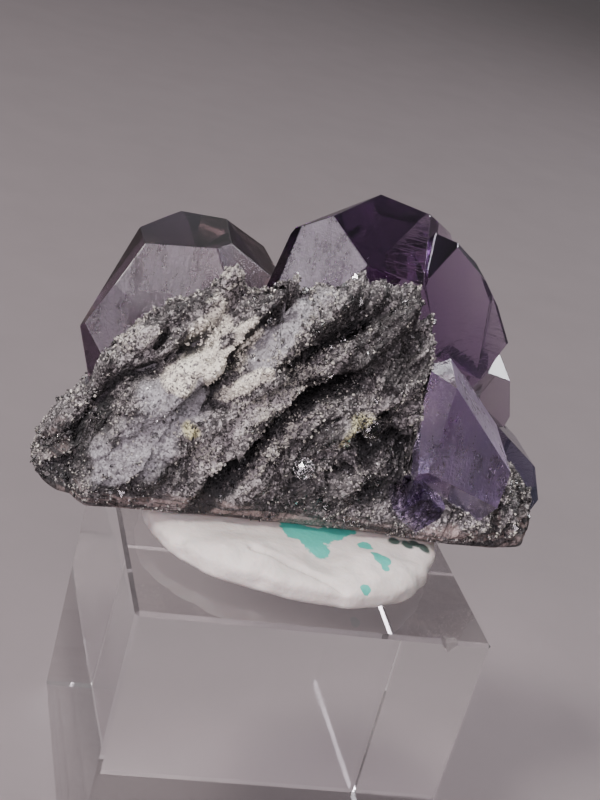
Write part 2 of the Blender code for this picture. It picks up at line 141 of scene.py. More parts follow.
# Thin leaves along the beds: their height, spacing and random seed
LEAVES = ((0.0010, 0.0019, 31), (0.0004, 0.0007, 43))

# Noises: size, octaves and random seed
TONE_WOBBLE = (0.0022, 4, 5)
FINE_LUMPS = (0.0013, 4, 3)
SHAKE = (0.0011, 2, 41)
FOOT_WOBBLE = (0.004, 2, 9)
GRAIN_CLOUDS = (0.0028, 3, 91)
PATCH_WOBBLE = (0.0015, 2, 81)

# The plane that leans with the stone's front, y at the stone's foot and its change with height, and the size
# of a pixel of the photograph there
FRONT_Y = -0.00925
FRONT_LEAN = 0.152
PIXEL_SIZE = 0.000105

# Tones of the stone's front: for each kind, half widths and the courses of their middle, in pixels
FRONT_TONES = {
    "pale": (
        (6, ((44, 425), (61, 408), (80, 387), (112, 362), (155, 343))),
        (9, ((183, 473), (215, 441), (253, 408), (302, 376), (345, 352))),
        (4, ((240, 497), (266, 457), (304, 421), (345, 398), (361, 396))),
        (4, ((229, 290), (258, 276), (294, 272))),
        (7, ((196, 463), (215, 468))),
        (3, ((262, 366), (300, 333), (330, 309), (365, 298), (420, 296))),
    ),
    "plate": (
        (19, ((137, 441), (158, 410), (182, 398))),
        (16, ((104, 473), (155, 447))),
        (11, ((261, 352), (291, 324), (322, 300), (350, 288), (385, 286), (428, 290))),
    ),
    "crust": (
        (11, ((178, 380), (202, 350), (218, 318))),
        (9, ((212, 374), (237, 352), (252, 330))),
        (5, ((222, 398), (262, 372))),
        (5, ((174, 297), (190, 290), (200, 282))),
    ),
    # Darker rock, and painted shade in the recesses under ledges
    "dark": (
        (14, ((323, 354), (367, 329), (421, 315))),
        (13, ((356, 371), (421, 349))),
        (10, ((104, 498), (150, 482), (180, 470))),
        (9, ((123, 333), (155, 314), (204, 303))),
        (7, ((275, 517), (399, 495))),
        (9, ((300, 470), (330, 430))),
        (11, ((330, 500), (300, 500))),
        (10, ((395, 385), (430, 375))),
        (9, ((375, 490), (430, 500))),
        (5, ((262, 300), (285, 292))),
    ),
    # Crevices, sunk into the relief and painted in deep shade
    "shaded_crevice": (
        (4, ((222, 494), (238, 472), (246, 450), (268, 434), (305, 404), (340, 383))),
        (4, ((84, 462), (90, 425), (111, 399), (127, 381), (158, 367))),
        (3, ((229, 357), (258, 324), (291, 300))),
        (3, ((160, 350), (172, 335))),
        (6, ((367, 465), (399, 449))),
        (4, ((330, 480), (352, 474))),
    ),
    "blush": (
        (13, ((45, 441), (61, 473))),
        (7, ((85, 507), (183, 505), (264, 518), (323, 528), (399, 540), (508, 544))),
    ),
    "ochre": (
        (8, ((346, 440), (358, 432), (366, 428))),
        (4, ((188, 425), (192, 430))),
    ),
}

STONE_MIDDLE = 0.012  # level that tells the stone's outside from its inside
LOWEST_GRAIN = 0.0046  # no grains grow below this height
GRAIN_JITTER = 0.0003  # side of the cube by which a grain's place is shaken

# How far the stone stands out along each kind of tone
TONE_RISES = (("crust", 0.0004), ("pale", 0.0005), ("plate", 0.0002), ("dark", -0.0003), ("shaded_crevice", -0.0015))

# Crystals that cut the stone: left, right, the second one grown into the right, front, corner and smoky. Each
# is a centre and a face table of bearing and tilt in degrees and distance from the centre.
CRYSTALS_IN_STONE = (
    (
        (-0.016, 0.008, BASE + 0.021),
        (
            (-120, 81, 0.0086), (-12, 30, 0.0086), (-15, 25, 0.0089), (-95, 29, 0.0086), (45, 41, 0.0096),
            (89, 58, 0.0098), (-45, -5, 0.0126), (-129, -9, 0.0043), (-126, 36, 0.0090), (-176, 35, 0.0117),
            (164, 54, 0.0114), (180, -5, 0.0115), (-89, -19, 0.0106), (96, -16, 0.0095), (0, -90, 0.0125),
            (0, -20, 0.0115),
        ),
    ),
    (
        (0.006, 0.009, BASE + 0.020),
        (
            (-31, 22, 0.0138), (28, 57, 0.0130), (-83, 16, 0.0154), (-124, 55, 0.0154), (7, -1, 0.0077),
            (63, 26, 0.0092), (155, 67, 0.0156), (114, 64, 0.0159), (65, -45, 0.0136), (178, 10, 0.0115),
            (-132, 2, 0.0078), (-146, 24, 0.0092), (0, -90, 0.0140), (-40, -35, 0.0120), (98, -4, 0.0150),
        ),
    ),
    (
        (0.015, 0.012, BASE + 0.021),
        (
            (42, 24, 0.0063), (62, 42, 0.0082), (131, 58, 0.0089), (106, 42, 0.0079), (110, 31, 0.0077),
            (64, -32, 0.0069), (20, -25, 0.0077), (172, 16, 0.0065), (-100, 10, 0.0062), (0, -80, 0.0080),
            (-60, 70, 0.0126),
        ),
    ),
    (
        (0.0150, -0.0034, BASE + 0.0148),
        (
            (6, 16, 0.0041), (-63, 15, 0.0057), (78, 46, 0.0039), (-17, -40, 0.0054), (80, -8, 0.0060),
            (-95, -5, 0.0048), (0, 90, 0.0078), (180, 0, 0.0070), (0, -85, 0.0090),
        ),
    ),
    (
        (0.025, 0.006, BASE + 0.006),
        (
            (30, 25, 0.0041), (86, 53, 0.0054), (94, 17, 0.0054), (61, -27, 0.0057), (-80, 10, 0.0070),
            (180, 15, 0.0060), (0, -85, 0.0030), (-20, -20, 0.0040),
        ),
    ),
    (
        (0.021, 0.011, BASE + 0.012),
        (
            (30, 10, 0.0044), (55, 56, 0.0072), (92, 18, 0.0056), (77, -19, 0.0050), (-80, 10, 0.0060),
            (180, 10, 0.0060), (0, -80, 0.0060),
        ),
    ),
)
CUT_INTO_STONE = 0.0005  # how far the stone's surface reaches into the crystals grown on it

# Putty: rim distances by bearing from the front; patches and stains as pixels of the photograph and a radius;
# wrinkles as courses of pixels
PUTTY_CENTRE = (0.0, -0.002)
PUTTY_THICKNESS = 0.0039
PUTTY_LUMPS = ((0.0006, 0.0062, 3, 71), (0.00012, 0.0016, 2, 75))  # height, then size, octaves and seed
PUTTY_GAP = 0.0001  # between the putty and the block
PUTTY_ROWS = 110
PUTTY_AROUND = 300
PATCH_LEVEL = 0.0034  # level on which the patches' pixels are placed
WRINKLE_LEVEL = 0.0032  # and the wrinkles' pixels
WRINKLE_DEPTH = 0.00055
WRINKLE_WIDTH = 0.00035
PUTTY_REACH = (
    (0, 0.0142), (30, 0.0157), (60, 0.0157), (90, 0.0165), (130, 0.0156),
    (180, 0.0124), (230, 0.0160), (270, 0.0175), (300, 0.0166), (330, 0.0140),
)
PATCH_PIXELS = (
    (312, 541, 0.0024), (296, 535, 0.0020), (334, 537, 0.0018), (318, 552, 0.0016), (346, 533, 0.0012),
    (363, 550, 0.0009), (381, 567, 0.0010), (374, 561, 0.0006), (366, 588, 0.0006), (384, 574, 0.0005),
)
STAIN_PIXELS = ((392, 545, 0.0009), (406, 548, 0.0008), (414, 546, 0.0006), (424, 549, 0.0007))
WRINKLE_PIXELS = (
    ((140, 520), (158, 531), (182, 540)),
    ((146, 533), (166, 545), (196, 553)),
    ((250, 556), (300, 572), (345, 590)),
)

# Lights: direction from the specimen, distance, size, power and colour
LIGHT_TARGET = (0.0, 0.0, 0.055)
LIGHTS = {
    "front softbox": ((-0.07, -0.81, 0.58), 0.60, (0.26, 0.22), 1.5, (1.0, 0.90, 0.96)),
    "left softbox": ((-0.65, -0.69, 0.33), 0.62, (0.24, 0.24), 2.2, (1.0, 0.87, 0.98)),
    "top softbox": ((-0.15, 0.15, 1.0), 0.55, (0.40, 0.30), 2.2, (1.0, 1.0, 1.0)),
    "key softbox": ((-0.62, -0.30, 0.80), 0.60, (0.10, 0.10), 3.8, (1.0, 0.95, 0.92)),
    "rear rim": ((0.75, 0.55, 0.45), 0.60, (0.12, 0.30), 1.2, (0.95, 0.96, 1.0)),
}

SKY_COLOUR = (0.95, 0.97, 1.0, 1.0)
SKY_STRENGTH = 0.22
FLOOR_RADIUS = 4.0
SENSOR_WIDTH = 36.0

# Looks of each crystal: absorption colour and density, frosted directions, where the frost starts to thin
CRYSTAL_LOOKS = {
    "left_crystal": ((0.50, 0.38, 0.37), 75.0, ((-12, 30), (-15, 25), (45, 41)), -4.4),
    "right_crystal": ((0.54, 0.38, 0.58), 125.0, ((-31, 22), (64, -32)), -3.2),
    "front_crystal": ((0.88, 0.78, 0.94), 34.0, ((6, 16), (-63, 15), (78, 46)), -0.7),
    "corner_crystal": ((0.12, 0.10, 0.30), 190.0, (), 0.0),
    "smoky_crystal": ((0.16, 0.06, 0.16), 80.0, (), 0.0),
    "rear_crystal": ((0.25, 0.12, 0.40), 90.0, (), 0.0),
    "low_rear_crystal": ((0.20, 0.10, 0.32), 90.0, (), 0.0),
    "left_rear_crystal": ((0.20, 0.12, 0.26), 90.0, (), 0.0),
    "purple_crystal": ((0.26, 0.10, 0.52), 300.0, (), 0.0),
}
# The frost thins out along this direction, within this span of the product with it
FROST_FADE = (70.0, 0.0, -45.0)
FADE_SPAN = 0.9

FLUORITE_IOR = 1.434
WELD_DISTANCE = 0.000002
FLAT_ANGLE = math.radians(0.6)  # least angle between two facets
WORN_ANGLE = math.radians(9)  # least angle of an edge that is worn
ALIGNED = 0.995  # cosine between a frosted direction and the normal of its facet
POLISHED = 0.004  # least roughness of the clear pieces
CLOUD_TINT = (0.86, 0.76, 0.92, 1.0)
OCHRE = (0.62, 0.58, 0.33, 1.0)
DEEP_SHADE = (0.006, 0.006, 0.007, 1.0)
CUT_SHADE = (0.035, 0.03, 0.038, 1.0)
STAIN = (0.05, 0.075, 0.065, 1.0)

# The small crystals, mapped to one slot name; nothing in the script reads this table
SMALL_CRYSTALS = ("rear_crystal", "low_rear_crystal", "left_rear_crystal", "purple_crystal")
SLOTS = dict.fromkeys(SMALL_CRYSTALS, "rear_fluorite")


def length_setting(name, description, default):
    return bpy.props.FloatProperty(name=name, description=description, default=default, unit="LENGTH")


def count_setting(name, description, default):
    return bpy.props.IntProperty(name=name, description=description, default=default, min=0)


def colour_setting(name, description, default):
    return bpy.props.FloatVectorProperty(name=name, description=description, subtype="COLOR", default=default)


class SpecimenSizes(bpy.types.PropertyGroup):
    """Sizes that a user may change."""

    edge_wear: length_setting("Edge wear", "Width of the worn edges of the crystals", 0.00012)
    fine_relief: length_setting("Fine relief", "Height of the stone's finest lumps", 0.00022)
    pale_grains: count_setting("Pale grains", "Number of pale grains on the stone", 14000)
    dark_grains: count_setting("Dark grains", "Number of dark grains on the stone", 9000)
    glassy_grains: count_setting("Glassy grains", "Number of clear grains on the stone", 1300)


class SpecimenColours(bpy.types.PropertyGroup):
    """Colours that a user may change."""

    stone_dark: colour_setting("Dark stone", "Colour of the dark beds", (0.024, 0.021, 0.022))
    stone_grey: colour_setting("Grey stone", "Colour of the grey beds", (0.165, 0.15, 0.152))
    stone_pale: colour_setting("Pale stone", "Colour of the pale beds", (0.48, 0.445, 0.44))
    crust: colour_setting("Crust", "Colour of the cream crust", (0.76, 0.72, 0.61))
    foot_band: colour_setting("Foot band", "Colour of the lowest beds", (0.27, 0.205, 0.19))
    plate: colour_setting("Smooth stone", "Colour of the smooth beds", (0.34, 0.33, 0.35))
    plate_shade: colour_setting("Smooth stone's specks", "Colour of the specks on it", (0.13, 0.12, 0.125))
    putty: colour_setting("Putty", "Colour of the putty", (0.68, 0.62, 0.585))
    patch: colour_setting("Patches", "Colour of the patches on the putty", (0.07, 0.40, 0.33))
    floor: colour_setting("Floor", "Colour of the floor", (0.165, 0.14, 0.145))


# Camera geometry


def camera_axes():
    """The camera's right, down and forward directions, turned by bearing, dip and roll."""
    bearing, dip, roll = (math.radians(angle) for angle in (CAMERA_BEARING, CAMERA_DIP, CAMERA_ROLL))
    forward = Vector((math.sin(bearing) * math.cos(dip), math.cos(bearing) * math.cos(dip), -math.sin(dip)))
    level = Vector((math.cos(bearing), -math.sin(bearing), 0.0))
    down = forward.cross(level)
    right = level * math.cos(roll) + down * math.sin(roll)
    down = down * math.cos(roll) - level * math.sin(roll)
    return right, down, forward


def sight_through(pixel):
    """Direction of the line of sight through a pixel of the photograph."""
    right, down, forward = camera_axes()
    across = (pixel[0] - PHOTO_SIZE[0] / 2) / FOCAL_PIXELS
    below = (pixel[1] - PHOTO_SIZE[1] / 2) / FOCAL_PIXELS
    return forward + right * across + down * below


def point_at_level(pixel, height):
    """Where the line of sight through a pixel of the photograph meets a level."""
    sight = sight_through(pixel)
    return Vector(CAMERA_EYE) + sight * ((height - CAMERA_EYE[2]) / sight.z)


def front_place(pixel):
    """Where the line of sight through a pixel of the photograph meets the leaning plane: x and height."""
    sight = sight_through(pixel)
    start = Vector(CAMERA_EYE)
    reach = (FRONT_Y + FRONT_LEAN * (start.z - BASE) - start.y) / (sight.y - FRONT_LEAN * sight.z)
    place = start + sight * reach
    return place.x, place.z - BASE


# Numbers


def lattice_noise(points, scale, seed):
    """Random values at the corners of cubes of side scale, blended smoothly between them; -1 to 1."""
    place = points / scale
    cell = np.floor(place).astype(np.int64)
    part = place - cell
    part = part * part * (3 - 2 * part)
    total = np.zeros(points.shape[:-1])
    for corner in itertools.product((0, 1), repeat=3):
        key = cell + np.array(corner)
        mixed = (key[..., 0] * 73856093) ^ (key[..., 1] * 19349663) ^ (key[..., 2] * 83492791) ^ (seed * 9781)
        mixed = (mixed ^ (mixed >> 13)) * 1274126177
        value = ((mixed ^ (mixed >> 16)) & 0xFFFF) / 65535.0
        weight = np.prod(np.where(np.array(corner) == 1, part, 1 - part), axis=-1)
        total += weight * value
    return 2 * total - 1


def layered_noise(points, scale, octaves, seed):
    """Lattice noises added, each half the size and half the height of the one before."""
    total = np.zeros(points.shape[:-1])
    for octave in range(octaves):
        total += lattice_noise(points, scale / 2**octave, seed + octave) / 2**octave
    return total


def face_normals(faces):
    """Unit normals of a face table, one row for each bearing and tilt."""
    table = np.radians(np.array([face[:2] for face in faces], float))
    level = np.cos(table[:, 1])
    return np.stack([np.sin(table[:, 0]) * level, -np.cos(table[:, 0]) * level, np.sin(table[:, 1])], axis=1)


def course_distance(x, height, course):
    """Shortest distance from each point to a polyline."""
    nearest = np.full(np.shape(x), np.inf)
    for (x0, z0), (x1, z1) in zip(course, course[1:]):
        along = ((x - x0) * (x1 - x0) + (height - z0) * (z1 - z0)) / ((x1 - x0) ** 2 + (z1 - z0) ** 2)
        along = np.clip(along, 0.0, 1.0)
        nearest = np.minimum(nearest, np.hypot(x - x0 - along * (x1 - x0), height - z0 - along * (z1 - z0)))
    return nearest


def tone_mask(courses, x, height, wobble):
    """1 along the courses of one kind of tone, falling to 0 at their sides, which the wobble breaks up."""
    mask = np.zeros(np.shape(x))
    for half_width, course in courses:
        apart = course_distance(x, height, [front_place(pixel) for pixel in course])
        reach = 1.5 - apart / (half_width * PIXEL_SIZE) + wobble
        mask = np.maximum(mask, np.clip(1.6 * reach, 0.0, 1.0))
    return mask


# Meshes


def grid_mesh(name, points):
    """A mesh from a grid of points, rows around and wrapped, with a fan to a point at each end."""
    rows, around = points.shape[:2]
    index = np.arange(rows * around).reshape(rows, around)
    ahead = np.roll(index, -1, axis=1)
    quads = np.stack([index[:-1], index[1:], ahead[1:], ahead[:-1]], axis=-1).reshape(-1, 4)
    ends = np.stack([points[0].mean(axis=0), points[-1].mean(axis=0)])
    vertices = np.concatenate([points.reshape(-1, 3), ends])
    first, last = rows * around, rows * around + 1
    near = np.stack([np.full(around, first), index[0], ahead[0]], axis=-1)
    far = np.stack([np.full(around, last), ahead[-1], index[-1]], axis=-1)
    corners = np.concatenate([quads.reshape(-1), near.reshape(-1), far.reshape(-1)])
    sizes = np.concatenate([np.full(len(quads), 4), np.full(2 * around, 3)])
    return mesh_from_arrays(name, vertices, corners, sizes)


def mesh_from_arrays(name, vertices, corners, sizes):
    """A mesh from its vertices, the corners of its faces in one row, and each face's number of corners."""
    mesh = bpy.data.meshes.new(name)
    mesh.vertices.add(len(vertices))
    mesh.vertices.foreach_set("co", np.asarray(vertices, np.float32).reshape(-1))
    mesh.loops.add(len(corners))
    mesh.loops.foreach_set("vertex_index", np.asarray(corners, np.int32))
    mesh.polygons.add(len(sizes))
    starts = np.concatenate([[0], np.cumsum(sizes)[:-1]])
    mesh.polygons.foreach_set("loop_start", starts.astype(np.int32))
    mesh.update(calc_edges=True)
    mesh.validate()
    return mesh


def add_piece(name, mesh, material, nodes, smooth=True):
    """Links a new piece that stands for CAD nodes and rides on the root body."""
    obj = bpy.data.objects.new(name, mesh)
    bpy.context.scene.collection.objects.link(obj)
    mesh.materials.append(material)
    mesh.polygons.foreach_set("use_smooth", np.full(len(mesh.polygons), smooth))
    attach(obj, "root")
    if nodes:
        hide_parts(*nodes)
    return obj


def add_mask(mesh, name, values):
    """Keeps one number for each vertex under a name that the materials read."""
    mask = mesh.attributes.new(name, "FLOAT", "POINT")
    filled = np.zeros(len(mesh.vertices), np.float32)
    filled[: values.size] = values.reshape(-1)
    mask.data.foreach_set("value", filled)


# Stone


def section_at(x):
    """Crest, base and the front and back lines of the stone's section at x."""
    table = np.array(STONE_SECTIONS)
    return [np.interp(x, table[:, 0], table[:, column]) for column in range(1, 7)]


def middle_and_half(section, rise):
    """Middle and half depth of a section at a share of its rise."""
    _, _, front_base, front_crest, back_base, back_crest = section
    front = front_base + (front_crest - front_base) * rise
    back = back_base + (back_crest - back_base) * rise
    return (front + back) / 2, (back - front) / 2


def section_place(y, height, section, taper):
    """Forward and upward coordinates of a point in its section, each 1 at the section's rim."""
    crest, base = section[:2]
    rise = (height - base) / (crest - base)
    middle, half = middle_and_half(section, rise)
    return (middle - y) / np.maximum(half, 0.0002) / taper, (2 * rise - 1) / taper


def across_beds(x, height):
    """Distance across the tilted bedding."""
    return -x * math.sin(BED_DIP) + height * math.cos(BED_DIP)


def bed_relief(x, height):
    """Each bed rises from its upper edge to its lower edge, then steps back to the next."""
    across = across_beds(x, height)
    wobble = sum(reach * np.sin(value / length) for (reach, length), value in zip(BED_WAVES, (x, height)))
    relief = np.zeros(x.shape)
    for upper, lower in zip(BED_BREAKS, BED_BREAKS[1:]):
        share = (upper - across - wobble) / (upper - lower)
        inside = (share >= 0) & (share < 1)
        rise = np.minimum(share / (1 - BED_RISER), (1 - share) / BED_RISER)
        relief = np.where(inside, BED_STEP * (rise - 0.5), relief)
    return relief


def cell_relief(points, count, seed, offset, slant):
    """Broken blocks: each point takes the offset and the slanting plane of the nearest cell centre."""
    random = np.random.default_rng(seed)
    low, high = np.array(CELL_SPACE)
    centres = low + (high - low) * random.random((count, 3))
    offsets = offset * (2 * random.random(count) - 1)
    slants = slant * (2 * random.random((count, 3)) - 1)
    cos, sin = math.cos(BED_DIP), math.sin(BED_DIP)
    bedding = np.array(((cos, 0.0, sin), (0.0, 1.0, 0.0), (-sin, 0.0, cos))) * np.array(CELL_STRETCH)[:, None]
    flat = points.reshape(-1, 3)
    turned = centres @ bedding.T
    relief = np.empty(len(flat))
    for start in range(0, len(flat), CELL_BATCH):
        some = flat[start : start + CELL_BATCH]
        placed = some @ bedding.T
        apart = (placed**2).sum(axis=1)[:, None] - 2 * placed @ turned.T + (turned**2).sum(axis=1)[None, :]
        nearest = np.argmin(apart, axis=1)
        tilted = ((some - centres[nearest]) * slants[nearest]).sum(axis=1)
        relief[start : start + CELL_BATCH] = offsets[nearest] + tilted
    return relief.reshape(points.shape[:-1])


def coarse_relief(x, y, height, frontness):
    """The relief that the stone's solid has too: lumps, beds, broken blocks, crevices and pits."""
    lumps = np.sin(x / LUMP_LENGTHS[0] * 6.28 + 1.1) * np.sin(y / LUMP_LENGTHS[1] * 6.28 + 0.4)
    lumps += 0.8 * np.sin(height / LUMP_LENGTHS[2] * 6.28 + x / 0.0031)
    relief = LUMP_HEIGHT * lumps + bed_relief(x, height) * (0.3 + 0.7 * frontness)
    relief = relief + cell_relief(np.stack([x, y, height], axis=-1), *LARGE_CELLS)
    for half_width, depth, course in CREVICES:
        apart = course_distance(x, height, course)
        relief = relief - frontness * depth * np.exp(-((apart / half_width) ** 2))
    for pit_x, pit_height, radius, depth in PITS:
        distance = np.hypot(x - pit_x, height - pit_height)
        relief = relief - frontness * depth * np.exp(-((distance / radius) ** 2))
    for depth, course in LEDGES:
        heights, places = np.array(course).T
        left = np.clip((np.interp(height, heights, places) - x) / LEDGE_WIDTH, 0.0, 1.0)
        beside = (height >= heights[0]) & (height < heights[-1])
        relief = relief - frontness * depth * left * beside
    return relief


def leaf_relief(x, height, points, spacing, seed):
    """Thin leaves along the beds: a saw across the bedding, bent by noise, its height broken up by noise."""
    across = across_beds(x, height) / spacing
    across = across + 1.3 * layered_noise(points, 5 * spacing, 2, seed)
    share = across - np.floor(across)
    saw = np.minimum((1 - share) / 0.8, share / 0.2) - 0.5
    strength = np.clip(0.5 + 1.1 * lattice_noise(points, 4 * spacing, seed + 6), 0.0, 1.0)
    return saw * strength


def hits_of_crystals(origin, direction):
    """Distance along each ray at which it enters the first crystal body, or infinity."""
    first = np.full(origin.shape[:-1], np.inf)
    for centre, faces in CRYSTALS_IN_STONE:
        enter = np.full(origin.shape[:-1], -np.inf)
        leave = np.full(origin.shape[:-1], np.inf)
        for normal, face in zip(face_normals(faces), faces):
            level = face[2] + normal @ np.array(centre)
            speed = direction @ normal
            away = level - origin @ normal
            when = away / np.where(np.abs(speed) < 1e-9, 1e-9, speed)
            enter = np.where(speed < 0, np.maximum(enter, when), enter)
            leave = np.where(speed > 0, np.minimum(leave, when), leave)
        hit = (enter < leave) & (leave > 0)
        first = np.where(hit, np.minimum(first, np.maximum(enter, 0.0)), first)
    return first


def stone_rays(stations, angles):
    """Rays from a line low in the stone's front out to its rim, stopped where they enter a crystal."""
    across = 2 * stations[:, None] - 1
    taper = np.maximum((1 - np.abs(across) ** END_SQUARENESS) ** 0.5, 0.02)
    first, last = STONE_SECTIONS[0][0], STONE_SECTIONS[-1][0]
    x = first + (last - first) * stations[:, None]
    section = section_at(x)
    crest, base = section[:2]
    rise = (1 - RAY_START * taper) / 2
    centre_height = base + (crest - base) * rise
    middle, half = middle_and_half(section, rise)
    centre_y = middle - RAY_START * taper * half
    low = np.zeros(np.broadcast_shapes(x.shape, angles.shape))
    high = np.full(low.shape, RAY_LENGTH)
    for _ in range(RAY_HALVINGS):
        middle = (low + high) / 2
        y = centre_y - middle * np.cos(angles)
        height = centre_height + middle * np.sin(angles)
        forward, upward = section_place(y, height, section, taper)
        power = np.where(upward > 0, SQUARENESS[1], SQUARENESS[0])
        inside = np.abs(forward) ** power + np.abs(upward) ** power < 1
        low = np.where(inside, middle, low)
        high = np.where(inside, high, middle)
    origin = np.stack(np.broadcast_arrays(x, centre_y, centre_height + BASE, low)[:3], axis=-1)
    direction = np.stack(np.broadcast_arrays(0.0, -np.cos(angles), np.sin(angles), low)[:3], axis=-1)
    hit = hits_of_crystals(origin, direction) + CUT_INTO_STONE
    for shift in (1, 2):
        for axis in (0, 1):
            hit = np.minimum(hit, np.minimum(np.roll(hit, shift, axis), np.roll(hit, -shift, axis)))
    reach = np.minimum(low, hit)
    return origin + direction * reach[..., None], section, taper, hit < low


def stone_surface():
    """The stone's points, station by station and spaced evenly around each section, with their masks."""
    # First pass: how long each section is, counting its front more, so that the points lie closer there
    even = np.linspace(0.0, 1.0, STONE_STATIONS)
    stations = 0.75 * even + 0.25 * (0.5 - 0.5 * np.cos(math.pi * even))
    fine = np.linspace(-math.pi, math.pi, FIRST_AROUND, endpoint=False)[None, :]
    dense = stone_rays(stations, fine)[0]
    apart = np.linalg.norm(np.roll(dense, -1, axis=1) - dense, axis=2)
    front = np.clip((0.004 - dense[..., 1]) / 0.006, 0.0, 1.0)
    length = np.cumsum(apart * (0.55 + front) + 1e-7, axis=1)
    # Second pass: the surface, and how far each point faces forward, upward and down
    share = np.linspace(0.0, 1.0, STONE_AROUND, endpoint=False)
    wrapped = np.append(fine[0], math.pi)
    rows = [np.interp(share, np.append(0.0, row) / row[-1], wrapped) for row in length]
    points, section, taper, cut = stone_rays(stations, np.array(rows))
    x, y, height = points[..., 0], points[..., 1], points[..., 2] - BASE
    forward, upward = section_place(y, height, section, taper)
    forward = np.clip(forward, -1.0, 1.0)
    upward = np.clip(upward, -1.0, 1.0)
    frontness = np.clip(forward * 1.6, 0.0, 1.0)
    underside = np.clip(-upward * 1.8 - 0.6, 0.0, 1.0)
    free = taper * (1 - underside) * ~cut
    # Relief: the coarse one, the tones' own, thin leaves, small blocks and fine lumps
    coarse = coarse_relief(x, y, height, frontness)
    local = np.stack([x, y, height], axis=-1)
    sizes = bpy.context.scene.specimen_sizes
    wobble = 0.6 * layered_noise(local, *TONE_WOBBLE)
    masks = {
        kind: tone_mask(courses, x, height, wobble) * frontness
        for kind, courses in FRONT_TONES.items()
    }
    rough = 1 - 0.75 * np.maximum(masks["crust"], masks["plate"])
    leaves = sum(rise * leaf_relief(x, height, local, spacing, seed) for rise, spacing, seed in LEAVES)
    fine_height = layered_noise(local, *FINE_LUMPS)
    small = cell_relief(local, *SMALL_CELLS)
    relief = coarse * (1 - 0.5 * masks["plate"]) + rough * (leaves + small)
    relief = relief + sizes.fine_relief * fine_height * (1 + 0.8 * masks["crust"])
    relief = relief + sum(rise * masks[kind] for kind, rise in TONE_RISES)
    y = y - forward * relief * free
    height = height + np.maximum(upward, -0.2) * relief * free
    points = np.stack([x + 0.00012 * layered_noise(local, *SHAKE) * free, y, height + BASE], axis=-1)
    # Painted shade in the hollows, troughs and crevices, and the brown foot
    hollow_shade = np.clip(-(coarse + 0.0006) / 0.0016, 0.0, 1.0) * frontness * (1 - 0.8 * masks["crust"])
    hollow_shade = hollow_shade + np.clip(-leaves / 0.00035 - 0.35, 0.0, 1.0) * 0.7 * rough
    hollow_shade = np.clip(hollow_shade + 0.5 * np.clip(-fine_height - 0.5, 0.0, 1.0), 0.0, 1.0)
    # The deepest crevices and the crevice courses get the darkest painted shade
    deep = np.clip(-(coarse + 0.0010) / 0.0008, 0.0, 1.0) * frontness
    deep = np.maximum(deep, np.clip(1.4 * masks["shaded_crevice"] - 0.3, 0.0, 1.0))
    masks["hollow_shade"] = np.maximum(hollow_shade * (1 - 0.6 * masks["pale"]), deep) * (1 - 0.8 * masks["plate"])
    band = np.clip((0.0066 + 0.0008 * layered_noise(local, *FOOT_WOBBLE) - height) / 0.0012, 0.0, 1.0)
    masks["blush"] = np.maximum(masks["blush"], band)
    masks["cut"] = cut.astype(float)
    return points, masks


def grid_normals(points):
    """Unit normals of a wrapped grid, from the differences along its rows and around them."""
    along = np.gradient(points, axis=0)
    around = np.roll(points, -1, axis=1) - np.roll(points, 1, axis=1)
    normal = np.cross(along, around)
    return normal / np.maximum(np.linalg.norm(normal, axis=2, keepdims=True), 1e-12)


def grain_mesh(name, centres, normals, sizes, tones, seed, sink):
    """Grains: cubes with shaken corners, each turned at random and sunk a little into the surface."""
    random = np.random.default_rng(seed)
    count = len(centres)
    corners = np.array(list(itertools.product((-1.0, 1.0), repeat=3)))
    shape = corners[None] * (0.42 + 0.5 * (random.random((count, 8, 3)) - 0.5))
    axes = random.normal(size=(count, 3, 3))
    first = axes[:, 0] / np.linalg.norm(axes[:, 0], axis=1, keepdims=True)
    second = np.cross(first, axes[:, 1])
    second /= np.linalg.norm(second, axis=1, keepdims=True)
    turn = np.stack([first, second, np.cross(first, second)], axis=1)
    placed = np.einsum("nij,njk->nik", shape * sizes[:, None, :], turn)
    centres = centres - normals * (sink * sizes.mean(axis=1))[:, None]
    vertices = (placed + centres[:, None, :]).reshape(-1, 3)
    sides = np.array(((0, 1, 3, 2), (4, 6, 7, 5), (0, 4, 5, 1), (2, 3, 7, 6), (0, 2, 6, 4), (1, 5, 7, 3)))
    faces = (np.arange(count)[:, None, None] * 8 + sides[None]).reshape(-1)
    mesh = mesh_from_arrays(name, vertices, faces, np.full(count * 6, 4))
    add_mask(mesh, "tone", np.repeat(tones, 8))
    return mesh


def add_grains(name, surface, chance, count, seeds, shape, material, crust=None, sink=0.2):
    """Scatters grains on random grid places, chosen by chance, and adds them as one piece.

    The shape is a grain's least size, the extra size of the largest, how rare large ones are, and the least
    and the extra stretch of a side. Grains on crust take a paler tone.
    """
    points, normals = surface
    random = np.random.default_rng(seeds[0])
    weights = chance.reshape(-1)
    chosen = random.choice(weights.size, size=count, p=weights / weights.sum())
    jitter = (random.random((count, 3)) - 0.5) * GRAIN_JITTER
    least, extra, rarity, stretch, more = shape
    spread = least + extra * random.random((count, 1)) ** rarity
    spans = spread * (stretch + more * random.random((count, 3)))
    tones = random.random(count)
    if crust is not None:
        tones = np.clip(0.1 + 0.6 * crust.reshape(-1)[chosen] + 0.6 * tones, 0, 1)
    centres = points.reshape(-1, 3)[chosen] + jitter
    mesh = grain_mesh(name, centres, normals.reshape(-1, 3)[chosen], spans, tones, seeds[1], sink)
    add_piece(name, mesh, material, (), smooth=False)


# Shader helpers


